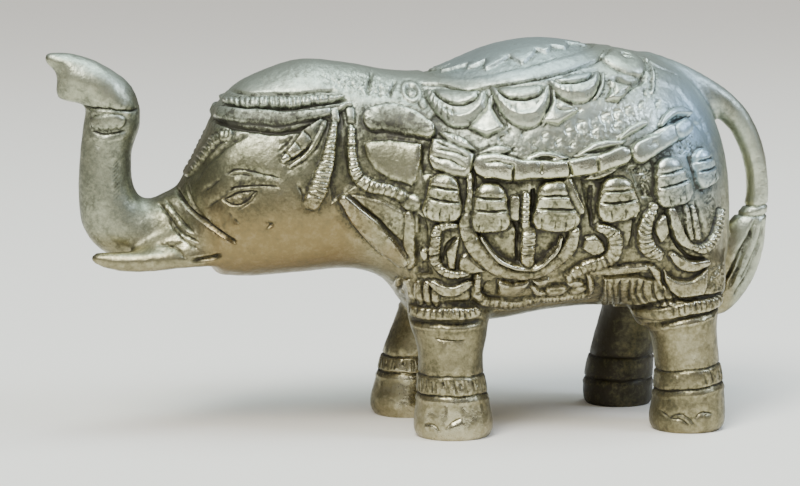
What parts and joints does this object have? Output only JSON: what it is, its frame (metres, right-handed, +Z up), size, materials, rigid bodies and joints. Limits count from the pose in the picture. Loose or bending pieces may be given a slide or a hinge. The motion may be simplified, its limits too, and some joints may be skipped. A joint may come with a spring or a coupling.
{
  "type": "elephant figurine",
  "caption": "Cast brass elephant with raised trunk, carved saddle cloth, ropes, bells and leg bands, standing on four flat soles.",
  "frame": {"origin": "middle of the bounding box, on the plane of the four soles", "axes": "+X from trunk to tail, so the elephant faces -X; -Y is its left flank, the one in the picture; +Z up"},
  "size_m": [0.1616, 0.0586, 0.0859],
  "materials": {
    "brass": "satin cast brass with dark patina in the carving"
  },
  "bodies": {
    "root": {"elephant": "brass"}
  },
  "joints": []
}
